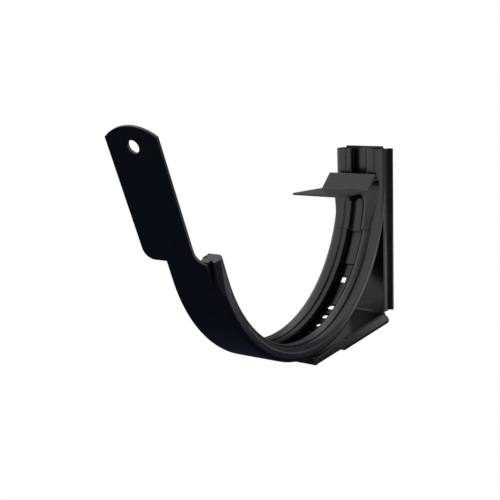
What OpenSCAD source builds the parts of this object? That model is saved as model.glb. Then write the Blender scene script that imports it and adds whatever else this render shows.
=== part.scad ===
// Gutter bracket for a half-round gutter.
// A rolled C-section strap carries the gutter, a folded wall plate with a brace
// foot holds the strap on the wall, and a spring clip grips the gutter's rear edge.
//
// Frame: X runs along the gutter, Y points into the wall, Z is up.
// The origin is the centre of the gutter's half circle.

/* [Gutter] */
// Radius of the seat the gutter lies on
seat_r = 77.1; // [60:0.1:100]

/* [Strap] */
// Width of the strap along the gutter
strap_w = 30; // [22:0.5:44]
// Depth of the C section from the seat to the outer skin
strap_h = 9; // [8:0.1:14]
// Sheet thickness of the strap and the tab
strap_t = 1.5; // [1:0.1:2.5]
// Bend radius between the seat lands and the side walls
land_r = 4.2; // [3:0.1:6]
// Bend radius between the outer skin and the side walls
skin_r = 2.1; // [1.6:0.1:3]
// Width of the open slot along the middle of the seat
slot_w = 8.6; // [6:0.1:12]
// Sweep of the half circle, from the rear leg to the front leg
sweep = 159.4; // [140:0.1:180]
// Length of the straight rear leg above the centre line
rear_leg = 17.8; // [8:0.1:30]
// Length of the straight front leg beyond the half circle
front_leg = 12.6; // [6:0.1:24]

/* [Strap holes] */
// Angle of the first hole of the row under the rear quarter
hole_first = 57.3; // [50:0.1:70]
// Angle between neighbouring holes of the row
hole_step = 5.2; // [4.5:0.1:8]
// Number of holes in the row
hole_count = 4; // [1:1:5]
// Width of a hole across the strap
hole_w = 6.8; // [4:0.1:7.2]
// Length of a hole along the strap
hole_l = 3.9; // [3:0.1:6]
// Angle of the single hole above the row
hole_top = 43.4; // [36:0.1:48]

/* [Front tab] */
// Width of the tab that folds over the gutter's bead
tab_w = 30.4; // [20:0.1:40]
// Distance of the tab's middle from the strap's middle
tab_x = -11.65; // [-16:0.05:0]
// Height of the tab's top above the half circle's end, along the leg
tab_top = 81.6; // [50:0.1:110]
// Rise of the rounded top edge above the tab's corners
tab_crown = 5.4; // [2:0.1:10]
// Height of the tab's lower left corner
tab_foot = 11.8; // [8:0.1:16]
// Radius of the hole near the tab's top
tab_hole_r = 3.3; // [1.5:0.1:5]
// Distance from the hole's centre to the tab's top
tab_hole_in = 10.1; // [7:0.1:16]

/* [Clip] */
// Width of the clip
clip_w = 30.4; // [22:0.2:40]
// Sheet thickness of the clip
clip_t = 1.2; // [0.8:0.1:2]
// Angle on the half circle where the clip's two legs end
clip_end = 22.3; // [16:0.1:32]
// Angle of the middle of the rounded top of the clip's rib
rib_top = 10.8; // [9:0.1:14]
// Angle where the clip's tail in the strap's groove ends
tail_end = 36.5; // [28:0.1:40]
// Gap between the clip's plate and the strap's lands
clip_gap = 0.05; // [0.02:0.01:0.3]
// Distance of the tongue's front edge inside the seat's rear
tongue_in = 47.4; // [30:0.5:62]
// Height of the tongue's front edge
tongue_z = -3.2; // [-8:0.1:0]
// Distance of the fold between the tongue and the wing inside the seat's rear
fold_in = 14.8; // [9:0.1:22]
// Height of the fold between the tongue and the wing
fold_z = -4.6; // [-8:0.1:-2]
// Height of the wing's free edge
wing_z = 4.1; // [2:0.1:10]

/* [Wall plate] */
// Width of the plate's raised web
web_w = 26; // [18:0.5:40]
// Sheet thickness of the wall plate and the brace
plate_t = 1.5; // [1:0.1:2.5]
// Depth of the plate from the web's face to the wall
plate_h = 8.6; // [6:0.1:14]
// Width over the two lips that lie on the wall
lip_w = 29.8; // [22:0.1:50]
// Height of the plate's top edge
plate_top = 18.8; // [10:0.1:40]
// Height of the web's bend into the brace above the strap's lowest point
plate_rise = 3.5; // [1:0.1:8]
// Gap between the strap's skin and the web
web_gap = 0.3; // [0.1:0.1:1]

/* [Brace] */
// Depth position of the brace's front end
brace_y = 5; // [-10:0.5:30]
// Fall of the brace towards the front, in degrees
brace_fall = 3.86; // [2:0.02:6]
// Depth of the brace's deep side flange at the web
flange_h = 9.3; // [7:0.1:12]
// Depth of the brace's shallow flange at the front end
nib_h = 4.8; // [4.4:0.1:6]
// Fall of the flanges' lower edges towards the front, in degrees
edge_fall = 2.56; // [2:0.02:5]
// Depth position where the deep flange ends
step_y = 37; // [25:0.5:60]

/* [Hidden] */
tongue_y = seat_r - tongue_in;
fold_y = seat_r - fold_in;
plate_low = plate_rise - seat_r - strap_h;
$fn = 96;
strap_ro = seat_r + strap_h;
half_w = strap_w / 2;
land_x = half_w - land_r;
skin_x = half_w - skin_r;
lip_x = slot_w / 2 + land_r;
tab_x0 = tab_x - tab_w / 2;
tab_x1 = tab_x + tab_w / 2;
web_y = strap_ro + web_gap;
wall_y = web_y + plate_h;
half_web = web_w / 2;
// the front leg is drawn in by the seam where it laps into the half circle's end
seam = 0.02;
lap = 0.4;
// the clip's rib follows the strap's two lips at this distance
rib_gap = 0.15;
rib_depth = 5.4;
tail_half = slot_w / 2 - 0.6;
web_r = 1;
top_r = 1.2;
deep_curl = 3.1;
nib_curl = 1.6;
// the brace's top face falls from this height at the web
brace_z = plate_low - 0.35;
fall_slope = tan(brace_fall);
edge_slope = tan(edge_fall);

// ---------- helpers ----------

// Local frame on the half circle: X is outward, Y runs along the strap, Z is across.
module on_arc(angle) {
  rotate([-90, 0, 90]) rotate([0, 0, angle]) children();
}

// Extrudes a flat (outward, across) section along the strap in the local frame.
module along(length) {
  rotate([90, 0, 0]) translate([0, 0, -length]) linear_extrude(height = length) children();
}

// Extrudes a (Y, Z) outline across the bracket, centred on X = 0.
module across(width) {
  rotate([90, 0, 90]) linear_extrude(height = width, center = true) children();
}

function unit(v) = v / norm(v);
function left(v) = [-v[1], v[0]];

// Points of an arc, from angle a0 to a1 in n steps.
function arc_pts(c, r, a0, a1, n) =
  [for (i = [0 : n]) let (a = a0 + (a1 - a0) * i / n) c + r * [cos(a), sin(a)]];

// The point beside corner i of a path, d to its left, on the corner's mitre.
function beside(p, i, d) =
  let (
    a = unit(p[max(i, 1)] - p[max(i, 1) - 1]),
    b = unit(p[min(i, len(p) - 2) + 1] - p[min(i, len(p) - 2)]),
    n = left(a) + left(b)
  ) p[i] + n * (2 * d / (n * n));

// A sheet of thickness t that follows a path.
module sheet(p, t) {
  last = len(p) - 1;
  polygon(concat(
    [for (i = [0 : last]) beside(p, i, t / 2)],
    [for (i = [last : -1 : 0]) beside(p, i, -t / 2)]));
}

// ---------- strap ----------

// Outer outline of the C section: (outward, across), drawn in by g all round.
module strap_outline(g = 0) {
  translate([seat_r + land_r, -half_w + g]) square([strap_h - land_r - skin_r, strap_w - 2 * g]);
  translate([seat_r + g, -land_x]) square([land_r + 1, 2 * land_x]);
  translate([strap_ro - skin_r - 1, -skin_x]) square([skin_r + 1 - g, 2 * skin_x]);
  for (s = [-1, 1]) {
    translate([seat_r + land_r, s * land_x]) circle(r = land_r - g);
    translate([strap_ro - skin_r, s * skin_x]) circle(r = skin_r - g);
  }
}

// Everything inside the sheet: the cavity, the slot and the curl of the two lips.
module strap_hollow(g = 0) {
  inner_w = strap_w - 2 * strap_t + 2 * g;
  cave_r = land_r - strap_t + g;
  translate([seat_r + land_r, -inner_w / 2])
    square([strap_h - land_r - skin_r, inner_w]);
  translate([seat_r + land_r, -skin_x])
    square([strap_h - land_r - strap_t + g, 2 * skin_x]);
  translate([seat_r - 1, -slot_w / 2 - g]) square([strap_h - strap_t + 1 + g, slot_w + 2 * g]);
  for (s = [-1, 1]) {
    translate([strap_ro - skin_r, s * skin_x]) circle(r = skin_r - strap_t + g);
    translate([seat_r + land_r, s * land_x]) circle(r = cave_r);
    translate([seat_r + land_r, s * lip_x]) circle(r = cave_r);
    translate([seat_r + strap_t - g, min(s * lip_x, s * land_x)])
      square([land_r, abs(land_x - lip_x)]);
    difference() {
      translate([seat_r - 1, s > 0 ? 0 : -lip_x]) square([land_r + 1, lip_x]);
      translate([seat_r + land_r, s * lip_x]) circle(r = land_r - g);
    }
  }
}

module strap_section(g = 0) {
  difference() {
    strap_outline(g);
    strap_hollow(g);
  }
}

// An oblong hole through the skin, cut outward at one angle.
module skin_hole(angle) {
  reach = (hole_w - hole_l) / 2;
  on_arc(angle) translate([seat_r + 3, 0, 0]) rotate([90, 0, 90])
    linear_extrude(height = strap_h) {
      square([hole_l, 2 * reach], center = true);
      for (s = [-1, 1]) translate([0, s * reach]) circle(r = hole_l / 2);
    }
}

// The tab's flat outline: (across, height along the leg).
module tab_outline() {
  corner = 5.9;
  crown_r = (tab_w * tab_w / 4 + tab_crown * tab_crown) / (2 * tab_crown);
  difference() {
    union() {
      difference() {
        translate([tab_x0, tab_foot]) square([tab_w, tab_top - tab_foot + 1]);
        difference() {
          translate([tab_x0 - 1, tab_top - 2 * tab_crown]) square([tab_w + 2, 3 * tab_crown]);
          translate([tab_x, tab_top - crown_r]) circle(r = crown_r, $fn = 240);
        }
      }
      translate([-half_w + skin_r, 3]) square([tab_x1 + half_w - skin_r, tab_foot + 5]);
      // fillet where the tab's right edge runs out on the strap's end
      difference() {
        translate([tab_x1 - 1, 3]) square([7, front_leg + 2.5]);
        translate([tab_x1 + 6, front_leg + 5.5]) circle(r = 6);
      }
    }
    difference() {
      translate([tab_x0 - 1, tab_foot - 1]) square([corner + 1, corner + 1]);
      translate([tab_x0 + corner, tab_foot + corner]) circle(r = corner);
    }
    translate([tab_x, tab_top - tab_hole_in]) circle(r = tab_hole_r);
  }
}

// Section of the front leg: its right half is pressed together to a solid end.
module pressed_section(g) {
  strap_section(g);
  intersection() {
    strap_outline(g);
    translate([seat_r - 1, -half_w - 1]) square([strap_h + 2, half_w + 0.2 - slot_w / 2]);
  }
}

// Hollows that the press leaves in the skin at the solid end: a crease that fades
// out along the strap, a flattened corner, and the mouth of the squeezed lip.
module end_press() {
  on_arc(sweep) translate([seat_r, front_leg, 0]) {
    translate([5.05, 0, -10.7]) rotate([0, 0, 14.5]) translate([0, -24, 0])
      along(28) polygon([[0, 0], [7, 1.9], [7, -6.4]]);
    rotate([0, 0, 10]) translate([0, -24, 0])
      along(28) polygon([[7, -11.4], [7, -13.4], [4, -15.05], [4, -18], [13, -18], [13, -11.4]]);
    translate([3.07, -3.5, -5.9]) along(4) circle(r = 0.6);
    // the outer sheet ends a little lower than the pressed lips
    translate([strap_h - strap_t + 0.1, -0.5, -11.2]) cube([3, 2, 6.8]);
  }
}

module strap() {
  color("DimGray") {
    difference() {
      union() {
        rotate([-90, 0, 90]) rotate_extrude(angle = sweep, $fn = 240) strap_section();
        on_arc(0) rotate([90, 0, 0]) linear_extrude(height = rear_leg) strap_section();
        on_arc(sweep) translate([0, -lap, 0]) along(front_leg + lap) pressed_section(seam);
      }
      for (i = [0 : hole_count - 1]) skin_hole(hole_first + i * hole_step);
      end_press();
      // the hole above the row is open on one side and only dented on the other
      on_arc(hole_top) translate([seat_r + 3, -2.1, 0.1]) cube([strap_h, 4.2, 3.1]);
      on_arc(hole_top) translate([strap_ro - strap_t - 1, -2.1, -3.1]) cube([1.5, 4.2, 4]);
    }
    on_arc(sweep) translate([strap_ro - strap_t + seam, 0, 0])
      rotate([90, 0, 90]) linear_extrude(height = strap_t - 2 * seam) rotate(-90) tab_outline();
  }
}

// ---------- clip ----------

// Side outline of the clip: plate on the lands, top bend, wing and tongue.
module clip_side() {
  outer = seat_r - clip_gap;
  mid = outer - clip_t / 2;
  start = 3.4;
  bend_r = 2.2;
  bend = [mid - 0.05 - bend_r, -1.3];
  fall = atan2(fold_z - tongue_z, fold_y - tongue_y);
  rise = 41;
  fold_r = 1.6;
  wing_len = (wing_z - clip_t / 2 * cos(rise) - fold_z) / sin(rise);
  tip = [fold_y, fold_z] + wing_len * [cos(rise), sin(rise)];
  back = fold_r * tan((rise - fall) / 2);
  centre = [fold_y, fold_z] - back * [cos(fall), sin(fall)] + fold_r * [-sin(fall), cos(fall)];
  intersection() {
    difference() {
      circle(r = outer, $fn = 240);
      circle(r = outer - clip_t, $fn = 240);
    }
    polygon([[0, 0], [2 * seat_r, -2 * seat_r * tan(start)],
      [2 * seat_r, -2 * seat_r * tan(clip_end)]]);
  }
  sheet(concat(
    [mid * [cos(start + 1.6), -sin(start + 1.6)], mid * [cos(start), -sin(start)]],
    arc_pts(bend, bend_r, 0, 86, 8),
    [[fold_y + 6, 0.9]]), clip_t - 0.04);
  sheet(concat(
    [[tongue_y, tongue_z]],
    arc_pts(centre, fold_r, fall - 90, rise - 90, 5),
    [tip]), clip_t);
}

// Shell profile of the clip's rib, (across, outward), drawn in by g: it follows the
// rounds of the strap's lips and overlaps the plate.
module rib_shell(g) {
  half = lip_x - land_r - rib_gap;
  difference() {
    union() {
      translate([-lip_x, seat_r - clip_gap - clip_t + g]) square([2 * lip_x, land_r + clip_t]);
      translate([-half + g, seat_r + 1]) square([2 * half - 2 * g, rib_depth - 1 - g]);
    }
    for (s = [-1, 1]) translate([s * lip_x, seat_r + land_r]) circle(r = land_r + rib_gap + g);
    difference() {
      translate([-lip_x - 1, seat_r - 9]) square([2 * lip_x + 2, 9 + rib_depth - clip_t + g]);
      for (s = [-1, 1]) translate([s * lip_x, seat_r + land_r])
        circle(r = land_r + rib_gap + clip_t - g);
    }
  }
}

// The opening that the rib fills in the clip's plate.
module rib_zone(r0, r1, half, first, last) {
  on_arc(first) rotate_extrude(angle = last - first, $fn = 240)
    translate([r0, -half]) square([r1 - r0, 2 * half]);
  on_arc(first) translate([r0, 0, 0]) rotate([0, 90, 0]) cylinder(h = r1 - r0, r = half);
}

// The rib along the groove with its rounded top end.
module clip_rib() {
  on_arc(rib_top - 0.25) rotate_extrude(angle = clip_end - rib_top + 0.25, $fn = 240)
    mirror([1, -1]) rib_shell(0);
  on_arc(rib_top) rotate([0, 90, 0]) rotate([0, 0, 180]) rotate_extrude(angle = 180)
    intersection() {
      rib_shell(0.03);
      translate([0, seat_r - 9]) square([lip_x + 1, 30]);
    }
}

// The tail steps down from the rib onto the strap's skin and lies along the groove.
module clip_tail() {
  skin = strap_h - strap_t - 0.05;
  on_arc(clip_end - 0.7) rotate_extrude(angle = 0.9, $fn = 240)
    translate([seat_r + rib_depth - clip_t + 0.1, -tail_half - 0.1])
      square([skin - rib_depth + clip_t - 0.3, 2 * tail_half + 0.2]);
  on_arc(clip_end - 0.5) rotate_extrude(angle = tail_end - clip_end + 0.5, $fn = 240)
    translate([seat_r + skin - clip_t, -tail_half]) square([clip_t, 2 * tail_half]);
}

module clip() {
  color("SlateGray") difference() {
    union() {
      difference() {
        across(clip_w) clip_side();
        rib_zone(seat_r - 4, seat_r + 1, lip_x - 1.2, rib_top, clip_end + 3);
      }
      clip_rib();
      clip_tail();
    }
    // tapered outer edges of the plate
    for (s = [-1, 1]) on_arc(4) translate([0, 0, s * clip_w / 2]) rotate([-s * 10.3, 0, 0])
      translate([seat_r - 12, 0, s > 0 ? 0 : -10]) cube([20, 40, 10]);
  }
}

// ---------- wall plate ----------

// Half section of the plate: web, side wall and lip, (across, depth from the web's face).
module plate_section() {
  r = web_r;
  difference() {
    union() {
      translate([-half_web + r, 0]) square([web_w - 2 * r, r]);
      translate([-half_web, r]) square([web_w, plate_h - r]);
      translate([-lip_w / 2, plate_h - plate_t]) square([lip_w, plate_t]);
      for (s = [-1, 1]) translate([s * (half_web - r), r]) circle(r = r);
    }
    translate([-half_web + plate_t, plate_t]) square([web_w - 2 * plate_t, plate_h]);
  }
}

// Places an (X, Z) section on a line that falls towards the front from height z at
// the web, and runs it from y0 to y1.
module brace_run(z, fall, y0, y1) {
  translate([0, web_y, z]) rotate([fall, 0, 0])
    translate([0, y1 - web_y, 0]) rotate([90, 0, 0])
      linear_extrude(height = y1 - y0) children();
}

// Top of the brace with its two bends, top face at height zero.
module brace_top_section() {
  difference() {
    union() {
      translate([-half_web + top_r, -top_r]) square([web_w - 2 * top_r, top_r]);
      translate([-half_web, -2.6]) square([web_w, 2.6 - top_r]);
      for (s = [-1, 1]) translate([s * (half_web - top_r), -top_r]) circle(r = top_r);
    }
    translate([-half_web + plate_t, -5]) square([web_w - 2 * plate_t, 5 - plate_t]);
  }
}

// Two flange walls with their lower edges curled in, lowest point at height zero.
module flange_section(h, curl) {
  for (s = [-1, 1]) mirror([s > 0 ? 0 : 1, 0]) {
    translate([half_web - plate_t, curl]) square([plate_t, h - curl]);
    difference() {
      translate([half_web - curl, curl]) circle(r = curl);
      if (curl > plate_t + 0.3) translate([half_web - curl, curl]) circle(r = curl - plate_t);
      translate([half_web - curl - 9, -1]) square([9, 12]);
      translate([half_web - curl - 1, curl]) square([curl + 2, 9]);
    }
    translate([half_web - curl - 0.8, 0]) square([0.8, plate_t]);
  }
}

// Side outline of the deep flange, (Y, Z): sloping front step and rounded rear nose.
module deep_outline() {
  nose = [web_y + 3.2, brace_z - 6.6];
  nose_r = 2.63;
  step_z = brace_z - flange_h - (web_y - step_y - 3) * edge_slope;
  polygon([
    [step_y - 4.4, step_z + 2.66], [step_y + 6, step_z - 1.1], [step_y + 6, step_z - 4],
    [nose[0], step_z - 4], nose, nose + nose_r * [sin(45), cos(45)],
    [web_y + 0.4, nose[1] + (nose[0] - web_y - 0.4) + 2 * nose_r * sin(45)],
    [web_y + 0.4, brace_z + 1], [step_y - 4.4, brace_z + 1]]);
  translate(nose) circle(r = nose_r);
}

// The two side flanges: shallow at the front, deep towards the wall.
module brace_flanges() {
  nose_y = web_y + 3.2;
  low = brace_z - flange_h;
  front_low = brace_z - (web_y - brace_y) * fall_slope - nib_h - (brace_y - web_y) * edge_slope;
  brace_run(front_low, edge_fall, brace_y, step_y + 1) flange_section(nib_h - 1.75, nib_curl);
  intersection() {
    brace_run(low, edge_fall, step_y - 5, nose_y + 3) flange_section(flange_h - 2.4, deep_curl);
    across(40) deep_outline();
  }
}

module wall_plate() {
  front_z = brace_z - (web_y - brace_y) * fall_slope;
  step_top = brace_z - (web_y - step_y) * fall_slope;
  color("DarkSlateGray") difference() {
    union() {
      difference() {
        translate([0, web_y, plate_low])
          linear_extrude(height = plate_top - plate_low) plate_section();
        // lowered shoulders beside the web's top
        for (s = [-1, 1]) translate([s * (half_web + 9.1), web_y, plate_top])
          cube([20, 3 * plate_h, 2.2], center = true);
        translate([0, web_y + plate_h / 2 + 1.5, plate_top])
          cube([web_w + 9, plate_h, 3.8], center = true);
      }
      // the bend between the web and the brace
      translate([0, web_y, brace_z]) across(web_w - 2 * top_r) difference() {
        translate([-1.2, -plate_t]) square([1.2 + plate_t, plate_t + 1.2]);
        translate([-1.45, 1.36]) circle(r = 1.5);
      }
      brace_run(brace_z, brace_fall, brace_y, web_y + 0.9) brace_top_section();
      brace_flanges();
      // the front end turned down
      brace_run(brace_z, brace_fall, brace_y, brace_y + plate_t)
        translate([-half_web + 0.4, -nib_h + 0.1]) square([web_w - 0.8, nib_h - 0.6]);
    }
    for (s = [-1, 1]) mirror([s > 0 ? 0 : 1, 0, 0]) {
      // rounded front corners
      translate([0, 0, front_z - 15]) linear_extrude(height = 30) difference() {
        translate([half_web - 3.1, brace_y - 2]) square([5, 5.25]);
        translate([half_web - 3.1, brace_y + 3.25]) circle(r = 3.2);
      }
      // reliefs where three folds meet
      translate([half_web - 1.3, brace_y + 1.3, front_z - 2.6]) rotate([90, 0, 45])
        cylinder(h = 5, r = 0.5, center = true);
      translate([half_web - 0.6, step_y, step_top - 0.6]) rotate([brace_fall, 0, 0])
        rotate([0, 45, 0]) cube([1.1, 5.6, 6], center = true);
    }
  }
}

strap();
clip();
wall_plate();
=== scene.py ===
# %% [markdown]
# A gutter bracket is three folded steel sheets: a rolled strap that carries the
# gutter, a spring clip at its rear, and a wall plate with a brace foot. The sheets
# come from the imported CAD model, which is loaded first and never moved.

# %% Load the bracket
import bmesh
import bpy
import math
from mathutils import Matrix, Vector


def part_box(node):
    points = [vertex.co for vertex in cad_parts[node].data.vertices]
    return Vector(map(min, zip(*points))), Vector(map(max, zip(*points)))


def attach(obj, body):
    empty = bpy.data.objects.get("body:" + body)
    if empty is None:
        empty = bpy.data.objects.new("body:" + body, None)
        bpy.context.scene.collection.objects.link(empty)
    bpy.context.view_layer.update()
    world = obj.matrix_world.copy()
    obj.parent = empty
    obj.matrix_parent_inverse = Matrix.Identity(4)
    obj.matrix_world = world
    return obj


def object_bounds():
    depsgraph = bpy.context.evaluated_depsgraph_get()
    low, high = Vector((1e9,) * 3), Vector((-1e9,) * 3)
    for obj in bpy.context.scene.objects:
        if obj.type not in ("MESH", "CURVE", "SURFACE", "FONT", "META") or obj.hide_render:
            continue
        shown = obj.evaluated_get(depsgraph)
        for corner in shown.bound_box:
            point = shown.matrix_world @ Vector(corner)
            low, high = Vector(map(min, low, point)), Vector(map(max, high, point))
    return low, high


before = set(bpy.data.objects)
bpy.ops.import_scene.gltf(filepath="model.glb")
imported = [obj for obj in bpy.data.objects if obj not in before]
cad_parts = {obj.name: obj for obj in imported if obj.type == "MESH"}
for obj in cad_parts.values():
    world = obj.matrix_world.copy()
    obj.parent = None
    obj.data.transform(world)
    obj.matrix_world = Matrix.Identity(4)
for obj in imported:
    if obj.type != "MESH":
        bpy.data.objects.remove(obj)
cad_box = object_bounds()
cad_size = [round(v, 4) for v in cad_box[1] - cad_box[0]]
print("nodes:", sorted(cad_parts), "box:", cad_size)

# %% [markdown]
# The camera looks down a little on the bracket from the front right, with a long
# lens, so the half circle stays nearly true. It leans by two degrees.

# %% Camera
TURN, TILT, LEAN = (math.radians(angle) for angle in (35.244, 11.530, -2.080))
DISTANCE = 0.506648
MOVE_RIGHT, MOVE_UP = -0.019622, -0.028030
FILM_MM, LENS_MM = 36, 68.756

back = Vector((
    math.sin(TURN) * math.cos(TILT),
    -math.cos(TURN) * math.cos(TILT),
    math.sin(TILT),
))
level = Vector((math.cos(TURN), math.sin(TURN), 0))
raised = back.cross(level)
right = math.cos(LEAN) * level + math.sin(LEAN) * raised
up = -math.sin(LEAN) * level + math.cos(LEAN) * raised
centre = MOVE_RIGHT * right + MOVE_UP * up
eye = centre + DISTANCE * back

lens = bpy.data.cameras.new("camera")
lens.sensor_width = FILM_MM
lens.lens = LENS_MM
lens.clip_start, lens.clip_end = 0.01, 20
camera = bpy.data.objects.new("camera", lens)
axes = Matrix((right, up, back)).transposed().to_4x4()
camera.matrix_world = Matrix.Translation(eye) @ axes
bpy.context.scene.collection.objects.link(camera)
bpy.context.scene.camera = camera
bpy.context.scene.view_settings.view_transform = "Standard"
print("camera at", [round(v, 4) for v in eye])


# %% [markdown]
# Gloss black paint shows mostly what stands round it. A plain white studio is bright
# in front and a little less overhead. The wall behind the bracket is dim, and the
# floor, well below the hung bracket, gives little light back, so faces that look down
# stay dark. The camera itself sees the studio as plain white. Each edge below is
# where a direction's Y or Z begins and ends to change the light.

# %% Studio
FLOOR_EDGE = (-0.34, -0.23)
WALL_EDGE = (0.39, 0.9)
WALL_FOOT = (-0.215, -0.16)
WALL_HEAD = (0.45, 0.75)
CEILING_EDGE = (0.45, 1.0)
FRONT_LIGHT, CEILING_LIGHT = 0.96, 0.83
WALL_SHARE = 0.17
ROOM_COLOUR = (0.94, 0.97, 1.0, 1)
WHITE = (1, 1, 1, 1)


def node_link(tree, a, b):
    tree.links.new(a, b)


def smooth_step(tree, value, start, end, low, high):
    step = tree.nodes.new("ShaderNodeMapRange")
    step.interpolation_type = "SMOOTHSTEP"
    ends = {"From Min": start, "From Max": end, "To Min": low, "To Max": high}
    for name, number in ends.items():
        step.inputs[name].default_value = number
    node_link(tree, value, step.inputs["Value"])
    return step.outputs[0]


world = bpy.data.worlds.new("studio")
bpy.context.scene.world = world
world.use_nodes = True
air = world.node_tree
air.nodes.clear()
direction = air.nodes.new("ShaderNodeTexCoord")
split = air.nodes.new("ShaderNodeSeparateXYZ")
node_link(air, direction.outputs["Generated"], split.inputs[0])
above = smooth_step(air, split.outputs["Z"], *FLOOR_EDGE, 0.0, 1.0)
print("room lit from Z", FLOOR_EDGE[0], "up")

# %% [markdown]
# Three smooth edges bound the dim wall: how far back a direction points, where the
# wall stands on the floor, and where it ends at the top.

# %% Dim wall behind
inward = smooth_step(air, split.outputs["Y"], *WALL_EDGE, 0.0, 1.0)
foot = smooth_step(air, split.outputs["Z"], *WALL_FOOT, 0.0, 1.0)
head = smooth_step(air, split.outputs["Z"], *WALL_HEAD, 1.0, 0.0)
fade = smooth_step(air, split.outputs["Z"], *CEILING_EDGE, FRONT_LIGHT, CEILING_LIGHT)


def times(tree, a, b):
    product = tree.nodes.new("ShaderNodeMath")
    product.operation = "MULTIPLY"
    node_link(tree, a, product.inputs[0])
    node_link(tree, b, product.inputs[1])
    return product.outputs[0]


dim = times(air, times(air, inward, foot), head)
wall = smooth_step(air, dim, 0.0, 1.0, 1.0, WALL_SHARE)
light = times(air, times(air, above, wall), fade)

room = air.nodes.new("ShaderNodeBackground")
room.inputs["Color"].default_value = ROOM_COLOUR
seen = air.nodes.new("ShaderNodeBackground")
seen.inputs["Color"].default_value = WHITE
path = air.nodes.new("ShaderNodeLightPath")
mix = air.nodes.new("ShaderNodeMixShader")
out = air.nodes.new("ShaderNodeOutputWorld")
node_link(air, light, room.inputs["Strength"])
node_link(air, path.outputs["Is Camera Ray"], mix.inputs[0])
node_link(air, room.outputs[0], mix.inputs[1])
node_link(air, seen.outputs[0], mix.inputs[2])
node_link(air, mix.outputs[0], out.inputs[0])
print("studio nodes:", len(air.nodes))

# %% Floor
FLOOR_SIZE, FLOOR_Z = 1.7, -0.35
FLOOR_TONE = (0.02, 0.028, 0.045, 1)

bpy.ops.mesh.primitive_plane_add(size=FLOOR_SIZE, location=(0, 0, FLOOR_Z))
floor = bpy.context.object
floor.name = "floor"
pale = bpy.data.materials.new("pale_floor")
pale.use_nodes = True
tree = pale.node_tree
tree.nodes.clear()
matt = tree.nodes.new("ShaderNodeBsdfDiffuse")
matt.inputs["Color"].default_value = FLOOR_TONE
glow = tree.nodes.new("ShaderNodeEmission")
glow.inputs["Color"].default_value = WHITE
look = tree.nodes.new("ShaderNodeLightPath")
both = tree.nodes.new("ShaderNodeMixShader")
end = tree.nodes.new("ShaderNodeOutputMaterial")
node_link(tree, look.outputs["Is Camera Ray"], both.inputs[0])
node_link(tree, matt.outputs[0], both.inputs[1])
node_link(tree, glow.outputs[0], both.inputs[2])
node_link(tree, both.outputs[0], end.inputs[0])
floor.data.materials.append(pale)
print("floor at", floor.location.z)


# %% [markdown]
# Powder coat is sprayed dry and baked, so it is smooth but never flat: it keeps a
# faint orange peel and small changes of gloss, and is a cool black.

# %% Powder coat
def powder_coat(name, seed):
    coat = bpy.data.materials.new(name)
    coat.use_nodes = True
    tree = coat.node_tree
    shader = tree.nodes["Principled BSDF"]
    shader.inputs["IOR"].default_value = 1.62
    where = tree.nodes.new("ShaderNodeTexCoord")
    shift = tree.nodes.new("ShaderNodeMapping")
    shift.inputs["Location"].default_value = (seed, seed * 0.7, seed * 0.3)
    node_link(tree, where.outputs["Object"], shift.inputs["Vector"])

    cloud = tree.nodes.new("ShaderNodeTexNoise")
    cloud.inputs["Scale"].default_value = 60
    cloud.inputs["Detail"].default_value = 3
    node_link(tree, shift.outputs[0], cloud.inputs["Vector"])
    tint = tree.nodes.new("ShaderNodeMix")
    tint.data_type = "RGBA"
    tint.inputs["A"].default_value = (0.0022, 0.0030, 0.0052, 1)
    tint.inputs["B"].default_value = (0.0042, 0.0050, 0.0078, 1)
    node_link(tree, cloud.outputs["Fac"], tint.inputs["Factor"])
    node_link(tree, tint.outputs["Result"], shader.inputs["Base Color"])

    gloss = tree.nodes.new("ShaderNodeMapRange")
    gloss.inputs["To Min"].default_value = 0.17
    gloss.inputs["To Max"].default_value = 0.25
    node_link(tree, cloud.outputs["Fac"], gloss.inputs["Value"])
    node_link(tree, gloss.outputs[0], shader.inputs["Roughness"])

    peel = tree.nodes.new("ShaderNodeTexNoise")
    peel.inputs["Scale"].default_value = 700
    peel.inputs["Detail"].default_value = 2
    node_link(tree, shift.outputs[0], peel.inputs["Vector"])
    bump = tree.nodes.new("ShaderNodeBump")
    bump.inputs["Strength"].default_value = 0.05
    bump.inputs["Distance"].default_value = 0.0003
    node_link(tree, peel.outputs["Fac"], bump.inputs["Height"])
    node_link(tree, bump.outputs[0], shader.inputs["Normal"])
    return coat


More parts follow.
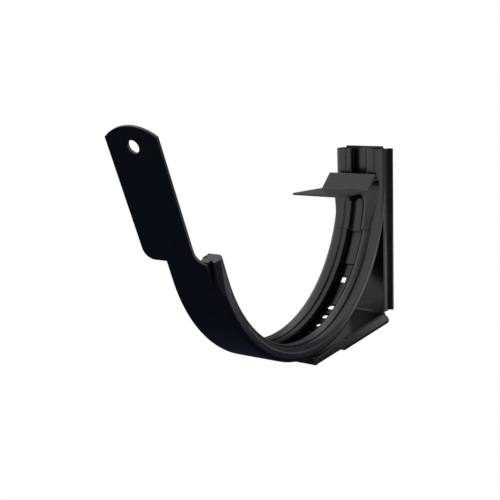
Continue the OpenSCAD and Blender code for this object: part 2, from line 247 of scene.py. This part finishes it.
for seed, name in enumerate(sorted(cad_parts)):
    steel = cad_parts[name]
    coat = powder_coat(name + "_coat", seed)
    for material_slot in steel.material_slots:
        material_slot.material = coat
    print(name, "coated, faces:", len(steel.data.polygons))

# %% [markdown]
# Where three folds of the wall plate meet, the press leaves a dent and not an open
# hole. The CAD model has a hole and a slit there on each side, so a thin web of the
# same coated steel closes each one below its outer face. Each web is sunk a little
# into the sheet round it, and its place is taken from the wall plate's box.

# %% Webs in the folds
low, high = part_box("wall_plate")
# (distance from the middle, from the box's front, from its foot), half of each side
TIP_WEB = ((0.0117, 0.0012, 0.0033), (0.0007, 0.0006, 0.0007))
SLIT_WEB = ((0.01193, 0.03187, 0.00696), (0.0007, 0.0031, 0.0004))
WEB_EDGE = 0.00015
BRACE_FALL, FOLD_TURN = math.radians(3.86), math.radians(45)


def web(name, side, place, half, turned):
    shape = bmesh.new()
    bmesh.ops.create_cube(shape, size=2)
    bmesh.ops.scale(shape, vec=half, verts=shape.verts)
    bmesh.ops.bevel(
        shape, geom=shape.edges[:], offset=WEB_EDGE, segments=2, affect="EDGES"
    )
    bmesh.ops.rotate(shape, cent=(0, 0, 0), matrix=turned, verts=shape.verts)
    centre = (side * place[0], low[1] + place[1], low[2] + place[2])
    bmesh.ops.translate(shape, vec=centre, verts=shape.verts)
    bmesh.ops.recalc_face_normals(shape, faces=shape.faces)
    mesh = bpy.data.meshes.new(name)
    shape.to_mesh(mesh)
    shape.free()
    piece = bpy.data.objects.new(name, mesh)
    bpy.context.scene.collection.objects.link(piece)
    mesh.materials.append(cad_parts["wall_plate"].material_slots[0].material)
    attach(piece, "root")
    print(name, "faces:", len(mesh.polygons))


fall = Matrix.Rotation(BRACE_FALL, 3, "X")
for side, label in ((1, "right"), (-1, "left")):
    upright = Matrix.Rotation(side * FOLD_TURN, 3, "Z")
    web("tip_web_" + label, side, *TIP_WEB, upright)
    across = Matrix.Rotation(side * FOLD_TURN, 3, "Y")
    web("slit_web_" + label, side, *SLIT_WEB, fall @ across)
